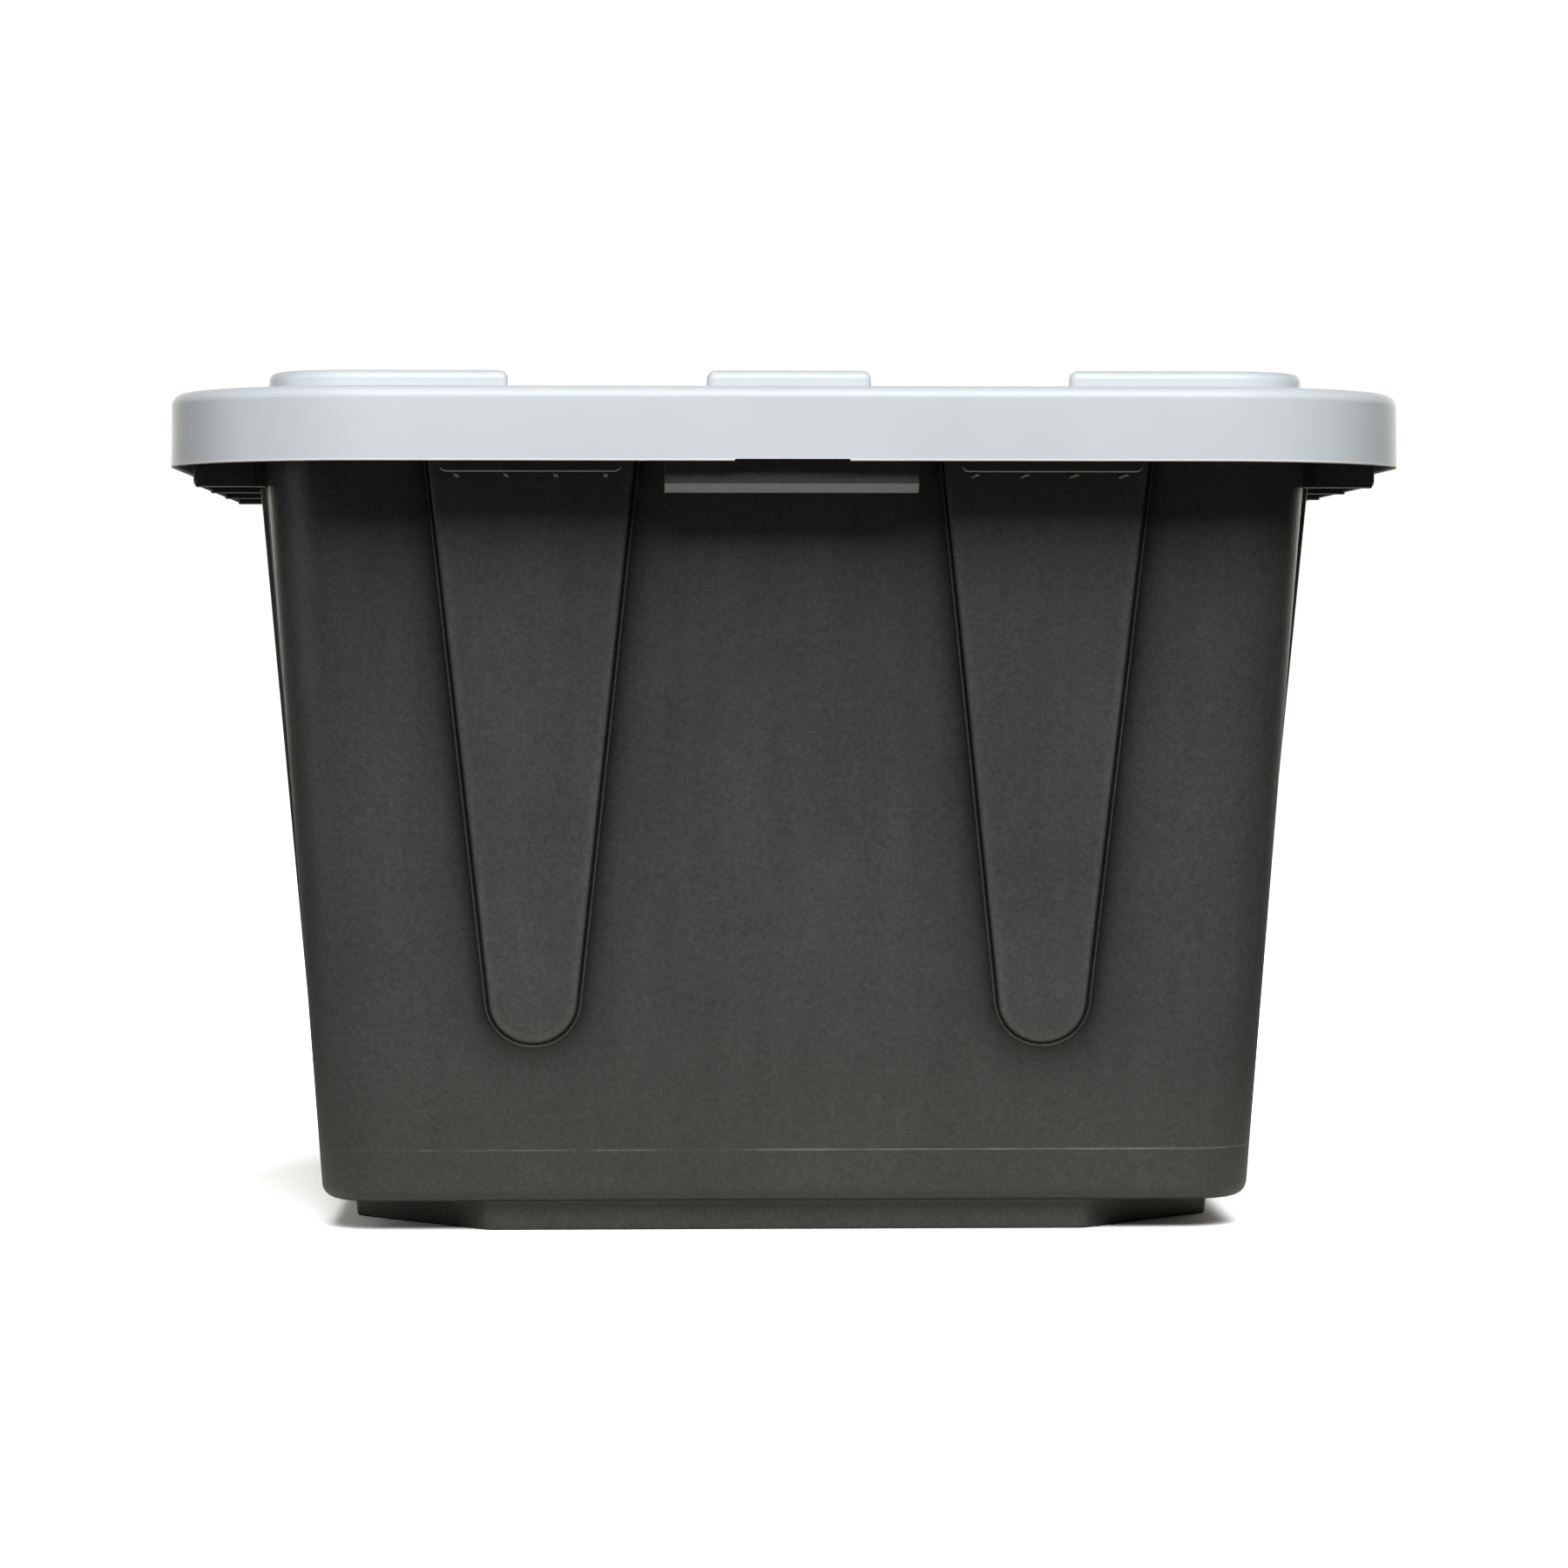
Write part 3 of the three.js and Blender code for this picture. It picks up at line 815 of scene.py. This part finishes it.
def pilaster_shade(tree, away):
    """Painted shade and painted highlights round a pilaster's edge: dark in the groove, rising on both
    sides of it.
    """
    close = calculate(tree, "EXPONENT", calculate(tree, "DIVIDE", away, -PAINTED_SHADE_WIDTH))
    wide = calculate(tree, "EXPONENT", calculate(tree, "DIVIDE", away, -5 * PAINTED_SHADE_WIDTH))
    near = calculate(tree, "MULTIPLY", close, PAINTED_SHADE_DEPTH)
    painted_shade = calculate(tree, "MULTIPLY_ADD", wide, PAINTED_SHADE_SPREAD, near)
    on_wall = calculate(tree, "SUBTRACT", 1, painted_shade)
    rising = spread(tree, away, -0.0030, -0.0012, PAINTED_LIP_HIGHLIGHT, GROOVE_SHADE)
    on_edge = calculate(tree, "MINIMUM", rising, spread(tree, away, -0.007, -0.003, 1, PAINTED_LIP_HIGHLIGHT))
    inside = chosen(tree, spread(tree, away, -0.0003, 0, 0, 1), on_edge, PAINTED_CREST_HIGHLIGHT)
    return chosen(tree, spread(tree, away, 0.0005, 0.0008, 0, 1), inside, on_wall)


def lower_shade(tree, z):
    """Painted shade: dims the walls a little towards the bottom, and their lower rounding next to the
    foot.
    """
    low = UNDERSIDE / 1000
    fading = spread(tree, z, low, BOTTOM_FADE_TOP, BOTTOM_PAINTED_SHADE, 1)
    on_wall = spread(tree, z, low - 0.0004, low, 0, 1)
    upward = facing_up(tree)
    near_foot = spread(tree, z, low + 0.002, low + 0.003, 1, 0)
    above_foot_edge = calculate(tree, "MULTIPLY", near_foot, spread(tree, z, 0.010, 0.011, 0, 1))
    crease = chosen(tree, above_foot_edge, 1, spread(tree, upward, -0.95, -0.8, CREASE_PAINTED_SHADE, 1))
    return calculate(tree, "MULTIPLY", chosen(tree, on_wall, 1, fading), crease)


def edges_below(tree, z, height):
    """Mask of the painted highlights: 1 on bevels and roundings that look down above a height, 0 on level
    and upright faces.
    """
    upward = facing_up(tree)
    above = spread(tree, z, height - 0.001, height, 0, 1)
    not_upright = spread(tree, upward, -0.6, -0.3, 1, 0)
    not_level = spread(tree, upward, -0.97, -0.85, 0, 1)
    sloping = calculate(tree, "MULTIPLY", not_upright, not_level)
    return calculate(tree, "MULTIPLY", sloping, above)


def black_plastic():
    material, tree, shader, place = new_material("black_polypropylene")
    clouds = noise(tree, place, 9, detail=4, roughness=0.6)
    streaks = noise(tree, place, 1, detail=3, stretch=(70, 70, 4))
    grain = noise(tree, place, 480, detail=4, roughness=0.75)
    waves = noise(tree, place, 5, detail=1)
    tone = blended(tree, varied(tree, clouds, 0, 1), DARK_BLACK, PALE_BLACK)
    z = height_of(tree, place)

    side, up, out, on_end = wall_frame(tree, place)
    # painted shade in each pilaster's groove and on the wall beside it, with painted highlights on its
    # edge
    beside = pilaster_shade(tree, pilaster_distance(tree, side, up))
    beyond = spread(tree, out, *BEYOND_PILASTERS, 0, 1)
    rim = [(level - PILASTER_TIP_CENTRE) / 1000 for level in (RIM_UNDERSIDE, RIM_TOP)]
    off_wall = calculate(tree, "MAXIMUM", beyond, spread(tree, up, *rim, 0, 1))
    plain = calculate(tree, "MAXIMUM", off_wall, calculate(tree, "MULTIPLY", on_end, END_PLAINNESS))
    shade = chosen(tree, plain, beside, 1)

    speckle = varied(tree, grain, 0.66, 1.34)
    streaked = calculate(tree, "MULTIPLY", speckle, varied(tree, streaks, 0.95, 1.05))
    # the faint mould line: a real line on the tote, drawn as a painted highlight broken up by patches
    offset = calculate(tree, "ABSOLUTE", calculate(tree, "SUBTRACT", z, WITNESS_LINE))
    line = spread(tree, offset, 0.0002, 0.0006, WITNESS_PAINTED_HIGHLIGHT, 0)
    patches = spread(tree, noise(tree, place, 14, detail=4, roughness=0.7), 0.4, 0.6, 0.1, 1)
    witness = calculate(tree, "MULTIPLY", line, patches)
    # painted highlights on the bevels and roundings that look down, stronger on the ribs
    glint = spread(tree, z, RIB_GLINT_FROM, RIB_GLINT_FROM + 0.0005, LEDGE_GLINT, RIB_GLINT)
    glints = calculate(tree, "MULTIPLY", edges_below(tree, z, GLINT_FROM), glint)
    painted_highlights = calculate(tree, "ADD", witness, glints)
    # painted shade from the pilasters, towards the bottom and in the crease above the foot
    shaded = calculate(tree, "MULTIPLY", shade, lower_shade(tree, z))
    strength = calculate(tree, "MULTIPLY_ADD", shaded, streaked, painted_highlights)
    tree.links.new(scaled(tree, tone, strength), shader.inputs["Base Color"])

    matte = spread(tree, shade, 0.2, 1, *BLACK_ROUGHNESS)
    roughness = calculate(tree, "MULTIPLY", varied(tree, streaks, 0.93, 1.07), matte)
    tree.links.new(roughness, shader.inputs["Roughness"])
    shader.inputs["IOR"].default_value = PLASTIC_IOR
    soft = bumped(tree, waves, 0.002, 0.3)
    tree.links.new(bumped(tree, grain, 0.00025, 0.7, soft), shader.inputs["Normal"])
    return material


def grey_plastic():
    material, tree, shader, place = new_material("grey_polypropylene")
    clouds = noise(tree, place, 9, detail=3)
    grain = noise(tree, place, 1300, detail=2, roughness=0.6)
    waves = noise(tree, place, 6, detail=1)
    tone = blended(tree, varied(tree, clouds, 0, 1), DARK_GREY, PALE_GREY)
    # the skirt's lowest millimetre is painted pale: a painted highlight
    skirt_edge = SKIRT_BOTTOM / 1000
    edge = spread(tree, height_of(tree, place), skirt_edge + 0.0006, skirt_edge + 0.0013, 1, 0)
    upward = facing_up(tree)
    # the lid's faces that look up are painted darker: painted shade
    tone_shaded_on_top = scaled(tree, tone, spread(tree, upward, 0.2, 0.9, 1, UPWARD_PAINTED_SHADE))
    shine = spread(tree, upward, 0.1, 0.8, SPECULAR, UPWARD_SPECULAR)
    tree.links.new(shine, shader.inputs["Specular IOR Level"])
    tree.links.new(blended(tree, edge, tone_shaded_on_top, SKIRT_EDGE_PAINTED_HIGHLIGHT), shader.inputs["Base Color"])
    shader.inputs["IOR"].default_value = PLASTIC_IOR
    tree.links.new(varied(tree, clouds, *GREY_ROUGHNESS), shader.inputs["Roughness"])
    soft = bumped(tree, waves, 0.001, 0.3)
    tree.links.new(bumped(tree, grain, 0.00008, 0.4, soft), shader.inputs["Normal"])
    return material


def stage_white():
    """White to the camera. As a reflector it is pale near the tote and dark further off."""
    material, tree, shader, place = new_material("stage_white")
    camera = add_node(tree, "ShaderNodeLightPath").outputs["Is Camera Ray"]
    far = add_node(tree, "ShaderNodeVectorMath", {0: place}, operation="LENGTH").outputs["Value"]
    bounce = blended(tree, spread(tree, far, *BOUNCE_FADE, 0, 1), *FLOOR_BOUNCE)
    tree.links.new(blended(tree, camera, bounce, FLOOR_SEEN), shader.inputs["Base Color"])
    shader.inputs["Roughness"].default_value = 0.9
    glow = calculate(tree, "MULTIPLY", camera, spread(tree, far, *FLOOR_GLOW_FADE, 0, 1))
    tree.links.new(glow, shader.inputs["Emission Strength"])
    shader.inputs["Emission Color"].default_value = (1, 1, 1, 1)
    return material


# ---- Stage, light and camera (in metres) ----

CAMERA_SIDE = -0.0835  # to the left of the tote's middle
CAMERA_GAP = 2.4154  # in front of the lid
CAMERA_HEIGHT = 0.2849
CAMERA_YAW = 1.88  # degrees, towards the tote
CAMERA_PITCH = 1.456  # degrees, downwards
CAMERA_LENS = 116

LIGHT_TARGET = 0.2  # height that the lights aim at
FLOOR_HALF = 40
FLOOR_SEEN = (2.3, 2.3, 2.3, 1)  # past white, so that only real shadows show
FLOOR_BOUNCE = ((0.66, 0.62, 0.54, 1), (0.05, 0.05, 0.05, 1))  # close to the tote and away from it
BOUNCE_FADE, FLOOR_GLOW_FADE = (0.3, 0.65), (0.3, 0.5)  # distances from the tote's middle

ROOM_LEVEL = 0.03
ROOM_TINT = (1, 0.94, 0.82, 1)
BACKDROP_LEVEL, BACKDROP_UPPER_LEVEL = 4.2, 0.8
BACKDROP_RISE = (0.08, 0.4)  # from one level to the other, as the sine of the height angle
BACKDROP_EDGE = (0.68, 0.97)  # cosines of the angles from straight behind where it starts and is full
BACKDROP_TURN = 0.06  # towards +X
BACKDROP_SEEN = 1.05


def make_camera():
    data = bpy.data.cameras.new("camera")
    data.lens = CAMERA_LENS
    data.sensor_width = 36
    camera = bpy.data.objects.new("camera", data)
    camera.location = (CAMERA_SIDE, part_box("lid")[0].y - CAMERA_GAP, CAMERA_HEIGHT)
    camera.rotation_euler = (math.radians(90 - CAMERA_PITCH), 0, math.radians(-CAMERA_YAW))
    bpy.context.scene.collection.objects.link(camera)
    bpy.context.scene.camera = camera


def make_floor():
    mesh = bpy.data.meshes.new("floor")
    corners = [(x * FLOOR_HALF, y * FLOOR_HALF, 0) for x, y in ((-1, -1), (1, -1), (1, 1), (-1, 1))]
    mesh.from_pydata(corners, [], [(0, 1, 2, 3)])
    mesh.materials.append(stage_white())
    floor = bpy.data.objects.new("floor", mesh)
    bpy.context.scene.collection.objects.link(floor)
    floor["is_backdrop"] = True


def area_light(name, azimuth, elevation, distance, size, level):
    """A soft light aimed at the tote. level is how bright it makes a white face turned to it."""
    turn, climb = math.radians(azimuth), math.radians(elevation)
    across = math.cos(climb)
    away = np.array([math.sin(turn) * across, -math.cos(turn) * across, math.sin(climb)])
    data = bpy.data.lights.new(name, "AREA")
    data.shape = "RECTANGLE"
    data.size, data.size_y = size
    data.energy = level * (math.pi * distance) ** 2
    light = bpy.data.objects.new(name, data)
    light.location = away * distance + np.array([0, 0, LIGHT_TARGET])
    light.rotation_euler = (math.pi / 2 - climb, 0, turn)
    bpy.context.scene.collection.objects.link(light)


def make_world():
    """White to the camera. As light it is a bright strip behind the tote and a dim room in front."""
    world = bpy.data.worlds.new("studio")
    world.use_nodes = True
    tree = world.node_tree
    background = tree.nodes["Background"]
    direction = add_node(tree, "ShaderNodeTexCoord").outputs["Generated"]
    split = add_node(tree, "ShaderNodeSeparateXYZ", {"Vector": direction})
    back = calculate(tree, "MULTIPLY_ADD", split.outputs["X"], BACKDROP_TURN, split.outputs["Y"])
    levels = BACKDROP_LEVEL, BACKDROP_UPPER_LEVEL
    strip = spread(tree, split.outputs["Z"], *BACKDROP_RISE, *levels)
    glow = chosen(tree, spread(tree, back, *BACKDROP_EDGE, 0, 1), ROOM_LEVEL, strip)
    camera = add_node(tree, "ShaderNodeLightPath").outputs["Is Camera Ray"]
    tree.links.new(blended(tree, camera, ROOM_TINT, (1, 1, 1, 1)), background.inputs["Color"])
    tree.links.new(chosen(tree, camera, glow, BACKDROP_SEEN), background.inputs["Strength"])
    bpy.context.scene.world = world


bpy.context.scene.view_settings.view_transform = "Standard"
make_camera()
make_world()
make_floor()
area_light("key", 6, 48, 2.6, (2.4, 1.9), 1.56)
area_light("left", -75, 15, 2.2, (0.5, 1.2), 0.12)

make_tub(black_plastic())
make_lid(grey_plastic())

for low, high in (cad_bounds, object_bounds()):
    print("bounds", [round(value, 4) for value in low], [round(value, 4) for value in high])
